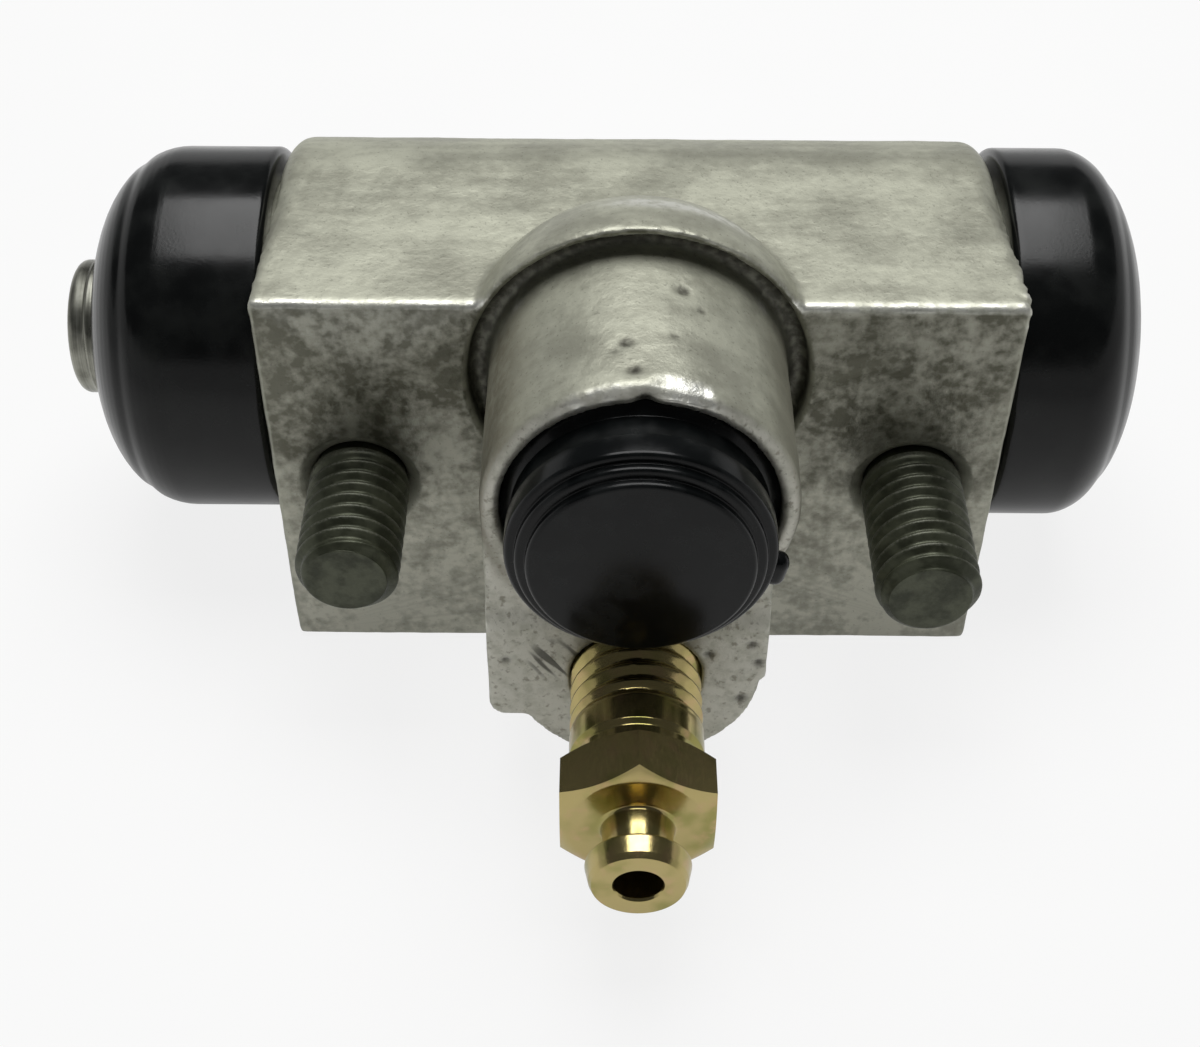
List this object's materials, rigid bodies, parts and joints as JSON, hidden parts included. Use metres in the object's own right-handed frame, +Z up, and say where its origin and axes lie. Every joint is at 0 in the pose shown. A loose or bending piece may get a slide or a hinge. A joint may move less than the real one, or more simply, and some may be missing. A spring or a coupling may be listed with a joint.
{
  "type": "wheel cylinder",
  "caption": "Cast aluminium hydraulic wheel cylinder for a drum brake, with opposed pistons, rubber dust boots, mounting studs, a plugged inlet boss and a bleeder screw.",
  "frame": {"origin": "midway between the two studs, on the mounting face", "axes": "+X along the bore, -Y the way the studs point, out of the mounting face, +Z up with the boss above the bleeder screw"},
  "size_m": [0.0886, 0.0683, 0.0426],
  "materials": {
    "cast_aluminium": "as-cast, blasted, with a burnished face edge",
    "phosphated_steel": "dark phosphate, oiled",
    "yellow_zinc": "yellow passivated zinc plate",
    "black_plastic": "satin moulded",
    "anodised_aluminium": "hard anodised",
    "bare_steel": "turned steel",
    "seal_rubber": "moulded rubber, smooth",
    "spring_steel": "plated spring steel",
    "boot_rubber": "moulded rubber, soft gloss"
  },
  "bodies": {
    "cylinder": {"housing": "cast_aluminium", "left_stud": "phosphated_steel", "right_stud": "phosphated_steel", "left_boot": "boot_rubber", "right_boot": "boot_rubber", "return_spring": "spring_steel"},
    "left_thrust": {"left_piston": "anodised_aluminium", "left_push_rod": "bare_steel", "left_cup_seal": "seal_rubber", "left_cup_expander": "spring_steel"},
    "right_thrust": {"right_piston": "anodised_aluminium", "right_push_rod": "bare_steel", "right_cup_seal": "seal_rubber", "right_cup_expander": "spring_steel"},
    "bleeder": {"bleeder_screw": "yellow_zinc"},
    "plug": {"port_plug": "black_plastic"}
  },
  "joints": [
    {"name": "left_piston_slide", "type": "slide", "parent": "cylinder", "child": "left_thrust", "axis": [-1, 0, 0], "range_m": [-0.0061, 0.0019], "deforming": ["left_boot", "return_spring"]},
    {"name": "right_piston_slide", "type": "slide", "parent": "cylinder", "child": "right_thrust", "axis": [1, 0, 0], "range_m": [-0.0002, 0.0081], "deforming": ["right_boot", "return_spring"]},
    {"name": "bleeder_turn", "type": "hinge", "parent": "cylinder", "child": "bleeder", "pos_m": [0, -0.025, -0.0055], "axis": [0, -1, 0], "range_deg": [0, 360]},
    {"name": "plug_pull", "type": "slide", "parent": "cylinder", "child": "plug", "axis": [0, -1, 0], "range_m": [0, 0.04]}
  ]
}
